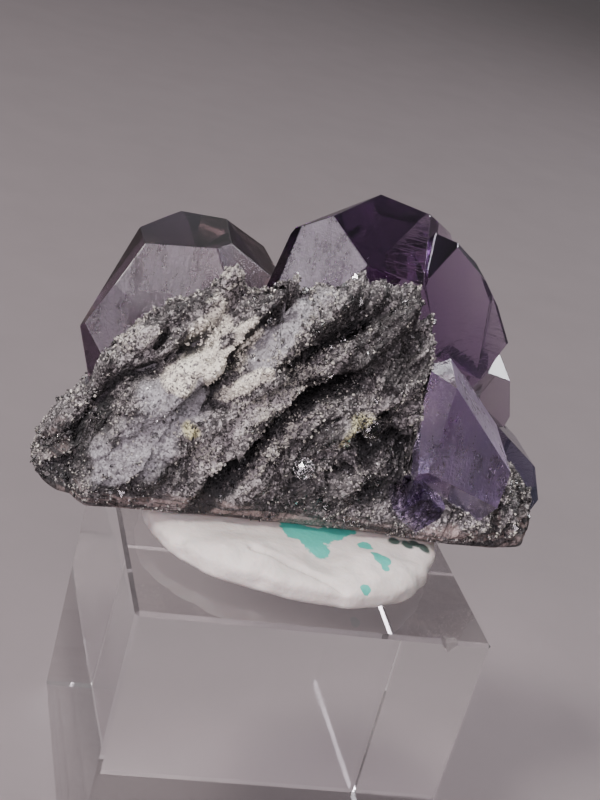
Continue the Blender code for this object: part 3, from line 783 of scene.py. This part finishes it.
class Sketch:
    """Adds and joins a material's nodes."""

    def __init__(self, tree):
        self.tree = tree

    def feed(self, node, inputs):
        """Fills a node's inputs: a socket is joined, a number or a colour is set."""
        for key, value in inputs.items():
            if isinstance(value, bpy.types.NodeSocket):
                self.tree.links.new(value, node.inputs[key])
            else:
                node.inputs[key].default_value = value

    def add(self, kind, inputs=None, **settings):
        node = self.tree.nodes.new(kind)
        for key, value in settings.items():
            setattr(node, key, value)
        self.feed(node, inputs or {})
        return node

    def math(self, operation, first, second=0.0, clamp=False):
        inputs = {0: first, 1: second}
        return self.add("ShaderNodeMath", inputs, operation=operation, use_clamp=clamp).outputs[0]

    def plus(self, first, second, share=None):
        """The sum of two values, of which the second may be taken by a share."""
        if share is not None:
            second = self.times(second, share)
        return self.math("ADD", first, second)

    def times(self, first, second):
        return self.math("MULTIPLY", first, second)

    def vector(self, operation, first, second, output=0):
        return self.add("ShaderNodeVectorMath", {0: first, 1: second}, operation=operation).outputs[output]

    def mix(self, factor, first, second):
        return self.add("ShaderNodeMix", {0: factor, 6: first, 7: second}, data_type="RGBA").outputs[2]

    def fit(self, value, low, high, new_low=0.0, new_high=1.0):
        inputs = {0: value, 1: low, 2: high, 3: new_low, 4: new_high}
        return self.add("ShaderNodeMapRange", inputs).outputs[0]

    def bump(self, strength, distance, height):
        inputs = {"Strength": strength, "Distance": distance, "Height": height}
        return self.add("ShaderNodeBump", inputs).outputs[0]

    def mask(self, name):
        return self.add("ShaderNodeAttribute", attribute_name=name).outputs["Fac"]

    def coordinates(self):
        return self.add("ShaderNodeTexCoord").outputs["Object"]

    def noise(self, vector, scale, detail=3.0, rough=0.55, stretch=None):
        if stretch:
            vector = self.add("ShaderNodeMapping", {"Vector": vector, "Scale": stretch}).outputs[0]
        inputs = {"Vector": vector, "Scale": scale, "Detail": detail, "Roughness": rough}
        return self.add("ShaderNodeTexNoise", inputs).outputs["Fac"]

    def group(self, effect, vector, scale):
        return self.add("ShaderNodeGroup", {0: vector, 1: scale}, node_tree=shared_group(*effect)).outputs


def new_material(name):
    material = bpy.data.materials.new(name)
    material.use_nodes = True
    sketch = Sketch(material.node_tree)
    shader = material.node_tree.nodes["Principled BSDF"]
    return material, sketch, shader


def paint(value):
    return (*value, 1.0)


def shared_group(name, scale, outputs, draw):
    """A node group with a vector and a scale coming in and numbers going out, drawn at its first use."""
    group = bpy.data.node_groups.get(name)
    if group:
        return group
    group = bpy.data.node_groups.new(name, "ShaderNodeTree")
    group.interface.new_socket("Vector", in_out="INPUT", socket_type="NodeSocketVector")
    group.interface.new_socket("Scale", in_out="INPUT", socket_type="NodeSocketFloat").default_value = scale
    for output in outputs:
        group.interface.new_socket(output, in_out="OUTPUT", socket_type="NodeSocketFloat")
    sketch = Sketch(group)
    source = sketch.add("NodeGroupInput").outputs
    values = draw(sketch, source[0], source[1])
    sketch.add("NodeGroupOutput", dict(enumerate(values)))
    return group


def draw_glitter(sketch, place, scale):
    """Tiny cells, each with its own tone, a slanting height and a shine."""
    cells = sketch.add("ShaderNodeTexVoronoi", {"Vector": place, "Scale": scale}).outputs
    parts = sketch.add("ShaderNodeSeparateColor", {0: cells["Color"]}).outputs
    offset = sketch.vector("SUBTRACT", place, cells["Position"])
    slant = sketch.vector("SUBTRACT", cells["Color"], (0.5, 0.5, 0.5))
    height = sketch.vector("DOT_PRODUCT", offset, slant, "Value")
    return parts[0], height, sketch.math("GREATER_THAN", parts[2], 0.72)


def draw_wear(sketch, place, scale):
    """Fine scratches and smudges, as two masks."""
    thin = {"Vector": place, "Rotation": (0.3, 0.2, 0.5), "Scale": (0.25, 1.0, 9.0)}
    streaks = sketch.noise(sketch.add("ShaderNodeMapping", thin).outputs[0], scale, 4.0, 0.6)
    smudges = sketch.noise(place, sketch.times(scale, 0.4), 3.0, 0.6)
    return sketch.fit(streaks, 0.55, 0.75), sketch.fit(smudges, 0.4, 0.7)


GLITTER = ("mineral glitter", 2400.0, ("Tone", "Height", "Shine"), draw_glitter)
WEAR = ("fine wear", 300.0, ("Scratches", "Smudges"), draw_wear)


def stone_material():
    """Layered stone: dark, grey and pale beds, cream crust, brown foot, and glitter all over."""
    colours = bpy.context.scene.specimen_colours
    dark, grey, pale = paint(colours.stone_dark), paint(colours.stone_grey), paint(colours.stone_pale)
    material, sketch, shader = new_material("layered stone")
    place = sketch.coordinates()
    fine = sketch.group(GLITTER, place, 5200.0)
    coarse = sketch.group(GLITTER, place, 1900.0)
    beds = {"Vector": place, "Rotation": (0.0, BED_DIP, 0.0), "Scale": (0.3, 1, 1.7)}
    banding = sketch.noise(sketch.add("ShaderNodeMapping", beds).outputs[0], 420.0, 4.0, 0.6)
    tone = sketch.plus(sketch.times(coarse[0], 0.45), banding, 0.6)
    tone = sketch.plus(tone, sketch.mask("pale"), 0.5)
    # The dark tones: darker rock, and painted shade under the ledges
    tone = sketch.plus(tone, sketch.mask("dark"), -0.6)
    colour = sketch.mix(sketch.fit(tone, 0.25, 0.8), dark, grey)
    colour = sketch.mix(sketch.fit(tone, 0.75, 1.15), colour, pale)
    pepper = sketch.fit(fine[0], 0.42, 0.22, 0.0, 0.85)
    colour = sketch.mix(pepper, colour, dark)
    large_salt = sketch.fit(coarse[0], 0.9, 0.95, 0.0, 0.5)
    salt = sketch.math("ADD", sketch.fit(fine[0], 0.66, 0.9), large_salt, True)
    salt = sketch.times(salt, sketch.fit(tone, 0.2, 0.9, 0.2, 0.9))
    colour = sketch.mix(salt, colour, pale)
    speckle = sketch.fit(fine[0], 0.1, 0.95)
    plate_tone = sketch.fit(speckle, 0.0, 0.6, 0.25, 1.0)
    plate_tone = sketch.mix(plate_tone, paint(colours.plate_shade), paint(colours.plate))
    colour = sketch.mix(sketch.times(sketch.mask("plate"), 0.85), colour, plate_tone)
    laminae = sketch.noise(place, 900.0, 3.0, 0.6, (0.12, 0.12, 1.6))
    foot_tone = sketch.mix(sketch.fit(laminae, 0.45, 0.56), dark, paint(colours.foot_band))
    colour = sketch.mix(sketch.times(sketch.mask("blush"), 0.8), colour, foot_tone)
    crust_tone = sketch.mix(sketch.fit(speckle, 0.0, 0.5), grey, paint(colours.crust))
    crust = sketch.fit(sketch.mask("crust"), 0.2, 0.8)
    colour = sketch.mix(crust, colour, crust_tone)
    colour = sketch.mix(sketch.mask("ochre"), colour, sketch.mix(speckle, dark, OCHRE))
    # Painted shade: near black in the hollows and crevices
    colour = sketch.mix(sketch.times(sketch.mask("hollow_shade"), 0.93), colour, DEEP_SHADE)
    colour = sketch.mix(sketch.times(sketch.mask("cut"), 0.6), colour, CUT_SHADE)
    dull = sketch.times(fine[2], sketch.math("SUBTRACT", 1.0, crust))
    height = sketch.plus(sketch.times(fine[1], 0.9), coarse[1], 0.7)
    inputs = {
        "Base Color": colour,
        "Roughness": sketch.fit(dull, 0.0, 1.0, 0.78, 0.24),
        "Specular IOR Level": 0.55,
        "Normal": sketch.bump(1.0, 1.0, height),
    }
    sketch.feed(shader, inputs)
    return material


def grain_material(name, low, high, roughness):
    """Grains of one mineral: each grain takes its own tone between two colours, with a fine mottle."""
    material, sketch, shader = new_material(name)
    mottle = sketch.noise(sketch.coordinates(), 5200.0, 2.0, 0.5)
    tone = sketch.math("ADD", sketch.mask("tone"), sketch.fit(mottle, 0.3, 0.7, -0.2, 0.2), True)
    inputs = {
        "Base Color": sketch.mix(tone, paint(low), paint(high)),
        "Roughness": sketch.fit(mottle, 0.3, 0.7, roughness * 0.7, roughness * 1.3),
        "Normal": sketch.bump(0.5, 0.0001, mottle),
    }
    sketch.feed(shader, inputs)
    return material


def absorb(sketch, colour, density):
    """Colours the light by the distance that it travels inside a clear piece."""
    volume = sketch.add("ShaderNodeVolumeAbsorption", {"Color": paint(colour), "Density": density})
    sketch.feed(sketch.tree.nodes["Material Output"], {"Volume": volume.outputs[0]})


def crystal_material(name, colour, density, fade_start):
    """Fluorite: clear faces with fine scratches, and frosted faces with fibrous growth lines."""
    material, sketch, shader = new_material(name)
    place = sketch.coordinates()
    frost = sketch.mask("frost")
    scratches = sketch.group(WEAR, place, 420.0)[0]
    fibres = sketch.noise(place, 900.0, 5.0, 0.65, (1.0, 0.35, 0.22))
    grain = sketch.noise(place, 2600.0, 3.0, 0.6)
    cloud = sketch.noise(place, 110.0, 4.0, 0.6)
    along = sketch.vector("DOT_PRODUCT", place, FROST_FADE, "Value")
    along = sketch.plus(along, sketch.fit(cloud, 0.35, 0.65, -0.3, 0.3))
    patchy = sketch.times(frost, sketch.fit(along, fade_start, fade_start + FADE_SPAN, 1.0, 0.25))
    veins = sketch.noise(place, 520.0, 6.0, 0.7, (1.0, 0.6, 0.45))
    veil = sketch.times(patchy, sketch.fit(veins, 0.36, 0.6, 0.35, 1.0))
    height = sketch.times(sketch.plus(fibres, grain, 0.5), frost)
    height = sketch.plus(height, sketch.times(veins, frost), 0.8)
    height = sketch.plus(height, scratches, -0.03)
    height = sketch.plus(height, cloud, 0.10)
    inputs = {
        "Base Color": sketch.mix(sketch.fit(cloud, 0.35, 0.75), CLOUD_TINT, paint((1.0, 1.0, 1.0))),
        "Roughness": sketch.plus(sketch.fit(scratches, 0.0, 1.0, 0.03, 0.12), veil, 0.4),
        "Transmission Weight": 1.0,
        "IOR": FLUORITE_IOR,
        "Coat Weight": sketch.times(veil, 0.9),
        "Coat Roughness": 0.26,
        "Coat Tint": (0.88, 0.78, 0.95, 1.0),
        "Normal": sketch.bump(0.9, 0.0004, height),
    }
    sketch.feed(shader, inputs)
    absorb(sketch, colour, density)
    return material


def clear_material(name, ior, colour, density, smear):
    """Clear acrylic or quartz: smooth, with faint scratches and smudges in its roughness."""
    material, sketch, shader = new_material(name)
    scratches, smudges = sketch.group(WEAR, sketch.coordinates(), 160.0)
    rough = sketch.math("ADD", sketch.times(scratches, smear), POLISHED)
    inputs = {
        "Base Color": paint((1.0, 1.0, 1.0)),
        "Roughness": sketch.plus(rough, smudges, smear * 0.3),
        "Transmission Weight": 1.0,
        "IOR": ior,
        "Normal": sketch.bump(0.2, 0.00001, scratches),
    }
    sketch.feed(shader, inputs)
    absorb(sketch, colour, density)
    return material


def putty_material():
    """Matte white putty with turquoise patches, a dark green stain and faint smudges."""
    colours = bpy.context.scene.specimen_colours
    material, sketch, shader = new_material("white putty")
    place = sketch.coordinates()
    smudge = sketch.noise(place, 260.0, 4.0, 0.6)
    fine = sketch.noise(place, 1900.0, 3.0, 0.5)
    shaded = tuple(value * 0.8 for value in colours.putty)
    colour = sketch.mix(sketch.fit(smudge, 0.35, 0.7), paint(shaded), paint(colours.putty))
    patch = sketch.plus(sketch.mask("patch"), sketch.fit(fine, 0.3, 0.7, -0.12, 0.12))
    colour = sketch.mix(sketch.fit(patch, 0.42, 0.58), colour, paint(colours.patch))
    stain = sketch.plus(sketch.mask("stain"), sketch.fit(smudge, 0.3, 0.7, -0.2, 0.2))
    inputs = {
        "Base Color": sketch.mix(sketch.fit(stain, 0.3, 0.8), colour, STAIN),
        "Roughness": sketch.fit(smudge, 0.3, 0.7, 0.42, 0.62),
        "Subsurface Weight": 0.12,
        "Subsurface Scale": 0.001,
        "Normal": sketch.bump(0.6, 0.0004, sketch.plus(smudge, fine, 0.3)),
    }
    sketch.feed(shader, inputs)
    return material


# Crystals


def crystal_copy(name, frosted):
    """A copy of the crystal's solid with whole facets and a frost mask."""
    bm = bmesh.new()
    bm.from_mesh(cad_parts[name].data)
    bmesh.ops.remove_doubles(bm, verts=bm.verts[:], dist=WELD_DISTANCE)
    parts = {"verts": bm.verts[:], "edges": bm.edges[:]}
    bmesh.ops.dissolve_limit(bm, angle_limit=FLAT_ANGLE, delimit={"NORMAL"}, **parts)
    mesh = bpy.data.meshes.new(name + "_facets")
    bm.to_mesh(mesh)
    bm.free()
    normals = np.zeros(len(mesh.polygons) * 3, np.float32)
    mesh.polygons.foreach_get("normal", normals)
    normals = normals.reshape(-1, 3)
    frost = np.zeros(len(normals))
    if frosted:
        aligned = normals @ face_normals(frosted).T
        frost = (aligned.max(axis=1) > ALIGNED).astype(float)
    mask = mesh.attributes.new("frost", "FLOAT", "FACE")
    mask.data.foreach_set("value", frost.astype(np.float32))
    return mesh


def wear_edges(obj, width):
    """Rounds the crystal's edges by a thin bevel."""
    bevel = obj.modifiers.new("worn edges", "BEVEL")
    bevel.width = width
    bevel.segments = 2
    bevel.limit_method = "ANGLE"
    bevel.angle_limit = WORN_ANGLE


# Operators


class SPECIMEN_OT_block(bpy.types.Operator):
    """Gives the acrylic block its clear material"""

    bl_idname = "specimen.block"
    bl_label = "Acrylic Block"

    def execute(self, context):
        material = clear_material("clear acrylic", 1.49, (0.90, 0.93, 0.90), 3.0, 0.05)
        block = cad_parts["acrylic_block"]
        block.visible_shadow = False
        for place in block.material_slots:
            place.material = material
        return {"FINISHED"}


def putty_reach(bearing):
    """Rim distance at a bearing, the mean of five readings of the measured outline."""
    marks = np.array(PUTTY_REACH, float)
    steps = np.append(marks[:, 0], 360.0)
    reach = np.append(marks[:, 1], marks[0, 1])
    turned = np.degrees(bearing) % 360
    smooth = np.zeros(turned.shape)
    for shift in (-14, -7, 0, 7, 14):
        smooth += np.interp((turned + shift) % 360, steps, reach) / 5
    return smooth


def putty_surface():
    """A pad: rim distance by bearing, bulging side, top pressed level under the stone, lumps and wrinkles."""
    climb = np.linspace(-1, 1, PUTTY_ROWS)[:, None]
    bearing = np.linspace(0, 2 * math.pi, PUTTY_AROUND, endpoint=False)[None, :]
    turn = climb * math.pi / 2
    flat = np.abs(np.cos(turn)) ** 0.42
    rise = 0.5 + 0.5 * np.sign(np.sin(turn)) * np.abs(np.sin(turn)) ** 0.62
    reach = putty_reach(bearing) * flat
    x = PUTTY_CENTRE[0] + reach * np.sin(bearing)
    y = PUTTY_CENTRE[1] - reach * np.cos(bearing)
    z = BASE + PUTTY_GAP + PUTTY_THICKNESS * rise
    points = np.stack(np.broadcast_arrays(x, y, z), axis=-1)
    side = np.clip(1.2 - np.abs(2 * rise - 1) ** 2, 0.0, 1.0)
    soft = sum(lift * layered_noise(points, *lump) for lift, *lump in PUTTY_LUMPS)
    outward = np.stack(np.broadcast_arrays(np.sin(bearing), -np.cos(bearing), 0.0 * bearing), axis=-1)
    points = points + outward * (soft * side)[..., None]
    open_top = np.clip((-0.0085 - points[..., 1]) / 0.002, 0.0, 1.0) * np.clip(2 * rise - 1, 0.0, 1.0)
    points[..., 2] += open_top * (soft * 0.9 + 0.00015)
    for course in WRINKLE_PIXELS:
        places = [point_at_level(pixel, BASE + WRINKLE_LEVEL) for pixel in course]
        line = [(place.x, place.y) for place in places]
        apart = course_distance(points[..., 0], points[..., 1], line)
        groove = WRINKLE_DEPTH * np.exp(-((apart / WRINKLE_WIDTH) ** 2))
        points[..., 2] -= groove * np.clip(rise * 2 - 0.6, 0.0, 1.0)
    return points[::-1]


class SPECIMEN_OT_putty(bpy.types.Operator):
    """Makes the putty pad from its rim and its thickness"""

    bl_idname = "specimen.putty"
    bl_label = "Putty"

    def execute(self, context):
        points = putty_surface()
        mesh = grid_mesh("putty_pad", points)
        for mask, pixels in (("patch", PATCH_PIXELS), ("stain", STAIN_PIXELS)):
            value = np.zeros(points.shape[:2])
            for across, down, radius in pixels:
                place = point_at_level((across, down), BASE + PATCH_LEVEL)
                apart = np.hypot(points[..., 0] - place.x, points[..., 1] - place.y)
                wobble = 1 + 0.3 * layered_noise(points, *PATCH_WOBBLE)
                value = np.maximum(value, np.exp(-((apart / radius / wobble) ** 4)))
            add_mask(mesh, mask, value)
        add_piece("putty_pad", mesh, putty_material(), ("putty",))
        return {"FINISHED"}


class SPECIMEN_OT_stone(bpy.types.Operator):
    """Makes the layered stone and the grains grown on it"""

    bl_idname = "specimen.stone"
    bl_label = "Stone and Grains"

    def execute(self, context):
        sizes = context.scene.specimen_sizes
        points, masks = stone_surface()
        mesh = grid_mesh("stone", points)
        for name, value in masks.items():
            add_mask(mesh, name, value)
        add_piece("stone", mesh, stone_material(), ("matrix",))
        normals = grid_normals(points)
        heights = points[..., 2] - BASE
        if np.sum(normals[..., 2] * (heights - STONE_MIDDLE)) < 0:
            normals = -normals
        area = np.linalg.norm(np.gradient(points, axis=0), axis=2)
        free = (1 - masks["cut"]) * (heights > LOWEST_GRAIN) * (1 - masks["shaded_crevice"]) * area
        mottle = np.clip(0.5 + layered_noise(points, *GRAIN_CLOUDS), 0.0, 1.0)
        surface = (points, normals)
        off_plate = 1 - 0.7 * masks["plate"]
        # Pale grains thin out and dark grains gather in the painted hollow shade and the dark tones
        pale = free * (0.08 + 1.4 * masks["crust"] + 0.5 * masks["pale"]) * mottle * off_plate
        pale = pale * (1 - 0.8 * masks["hollow_shade"]) * (1 - 0.6 * masks["dark"])
        shape = (0.00007, 0.0002, 2.8, 0.7, 0.6)
        material = grain_material("pale grains", (0.12, 0.115, 0.12), (0.74, 0.70, 0.61), 0.5)
        crust = masks["crust"]
        seeds = (101, 103)
        add_grains("pale_grains", surface, pale, sizes.pale_grains, seeds, shape, material, crust)
        dark = free * (0.25 + 0.5 * masks["blush"] + 0.6 * masks["hollow_shade"] + 0.4 * masks["dark"]) * mottle
        dark = dark * (1 - 0.9 * masks["crust"]) * off_plate
        shape = (0.00009, 0.00028, 2.8, 0.6, 0.8)
        material = grain_material("dark grains", (0.012, 0.011, 0.012), (0.11, 0.10, 0.10), 0.3)
        add_grains("dark_grains", surface, dark, sizes.dark_grains, (107, 109), shape, material)
        clear = free * (0.3 + 0.5 * masks["dark"] + 0.8 * masks["ochre"]) * mottle
        shape = (0.00015, 0.0006, 4, 0.8, 0.4)
        material = clear_material("glassy grains", 1.5, (0.9, 0.88, 0.92), 200.0, 0.2)
        count = sizes.glassy_grains
        seeds = (113, 127)
        add_grains("glassy_grains", surface, clear, count, seeds, shape, material, sink=0.05)
        return {"FINISHED"}


class SPECIMEN_OT_crystals(bpy.types.Operator):
    """Makes the fluorite crystals with worn edges and frosted faces"""

    bl_idname = "specimen.crystals"
    bl_label = "Crystals"

    def execute(self, context):
        width = context.scene.specimen_sizes.edge_wear
        for name, (colour, density, frosted, fade_start) in CRYSTAL_LOOKS.items():
            material = crystal_material(name.replace("_", " "), colour, density, fade_start)
            mesh = crystal_copy(name, frosted)
            obj = add_piece(name + "_facets", mesh, material, (name,), smooth=False)
            wear_edges(obj, width)
            obj.visible_shadow = False
        return {"FINISHED"}


class SPECIMEN_OT_beads(bpy.types.Operator):
    """Gives the two beads and the prism their clear material"""

    bl_idname = "specimen.beads"
    bl_label = "Beads and Prism"

    def execute(self, context):
        material = clear_material("clear beads", 1.5, (0.9, 0.9, 0.92), 60.0, 0.15)
        for name in ("low_bead", "high_bead", "clear_prism"):
            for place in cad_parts[name].material_slots:
                place.material = material
        return {"FINISHED"}


def add_light(name, toward, distance, size, power, colour):
    """Adds an area light in a direction from the specimen, facing it."""
    light = bpy.data.lights.new(name, "AREA")
    light.shape = "RECTANGLE"
    light.size, light.size_y = size
    light.energy = power
    light.color = colour
    obj = bpy.data.objects.new(name, light)
    bpy.context.scene.collection.objects.link(obj)
    direction = Vector(toward).normalized()
    obj.location = Vector(LIGHT_TARGET) + direction * distance
    obj.rotation_euler = (-direction).to_track_quat("-Z", "Y").to_euler()


class SPECIMEN_OT_stage(bpy.types.Operator):
    """Makes the floor, the lights and the camera"""

    bl_idname = "specimen.stage"
    bl_label = "Stage"

    def execute(self, context):
        bm = bmesh.new()
        bmesh.ops.create_circle(bm, cap_ends=True, segments=96, radius=FLOOR_RADIUS)
        mesh = bpy.data.meshes.new("floor")
        bm.to_mesh(mesh)
        bm.free()
        floor = bpy.data.objects.new("floor", mesh)
        context.scene.collection.objects.link(floor)
        material, sketch, shader = new_material("pale floor")
        tone = sketch.noise(sketch.coordinates(), 60.0, 4.0, 0.6)
        colour = context.scene.specimen_colours.floor
        lighter = tuple(value * 1.06 for value in colour)
        tint = sketch.mix(sketch.fit(tone, 0.3, 0.7), paint(colour), paint(lighter))
        sketch.feed(shader, {"Base Color": tint, "Roughness": 0.75})
        mesh.materials.append(material)
        world = bpy.data.worlds.new("studio")
        context.scene.world = world
        world.use_nodes = True
        background = world.node_tree.nodes["Background"]
        background.inputs["Color"].default_value = SKY_COLOUR
        background.inputs["Strength"].default_value = SKY_STRENGTH
        for name, light in LIGHTS.items():
            add_light(name, *light)
        camera = bpy.data.cameras.new("camera")
        camera.sensor_width = SENSOR_WIDTH
        camera.lens = FOCAL_PIXELS * SENSOR_WIDTH / max(PHOTO_SIZE)
        camera.clip_start = 0.005
        obj = bpy.data.objects.new("camera", camera)
        context.scene.collection.objects.link(obj)
        right, down, forward = camera_axes()
        turn = Matrix((right, -down, -forward)).transposed().to_4x4()
        obj.matrix_world = Matrix.Translation(CAMERA_EYE) @ turn
        context.scene.camera = obj
        return {"FINISHED"}


class SPECIMEN_PT_panel(bpy.types.Panel):
    """Lists the sizes, the colours and the operators"""

    bl_label = "Fluorite Specimen"
    bl_space_type = "VIEW_3D"
    bl_region_type = "UI"
    bl_category = "Specimen"

    def draw(self, context):
        layout = self.layout
        for group in (context.scene.specimen_sizes, context.scene.specimen_colours):
            for name in group.__annotations__:
                layout.prop(group, name)
        for operator in OPERATORS:
            layout.operator(operator.bl_idname)


OPERATORS = (
    SPECIMEN_OT_block,
    SPECIMEN_OT_putty,
    SPECIMEN_OT_stone,
    SPECIMEN_OT_crystals,
    SPECIMEN_OT_beads,
    SPECIMEN_OT_stage,
)
CLASSES = (SpecimenSizes, SpecimenColours, *OPERATORS, SPECIMEN_PT_panel)


def register():
    for item in CLASSES:
        bpy.utils.register_class(item)
    bpy.types.Scene.specimen_sizes = bpy.props.PointerProperty(type=SpecimenSizes)
    bpy.types.Scene.specimen_colours = bpy.props.PointerProperty(type=SpecimenColours)


def unregister():
    del bpy.types.Scene.specimen_colours
    del bpy.types.Scene.specimen_sizes
    for item in reversed(CLASSES):
        bpy.utils.unregister_class(item)


def main():
    register()
    for operator in OPERATORS:
        getattr(bpy.ops.specimen, operator.bl_idname.split(".")[1])()


if __name__ == "__main__":
    main()
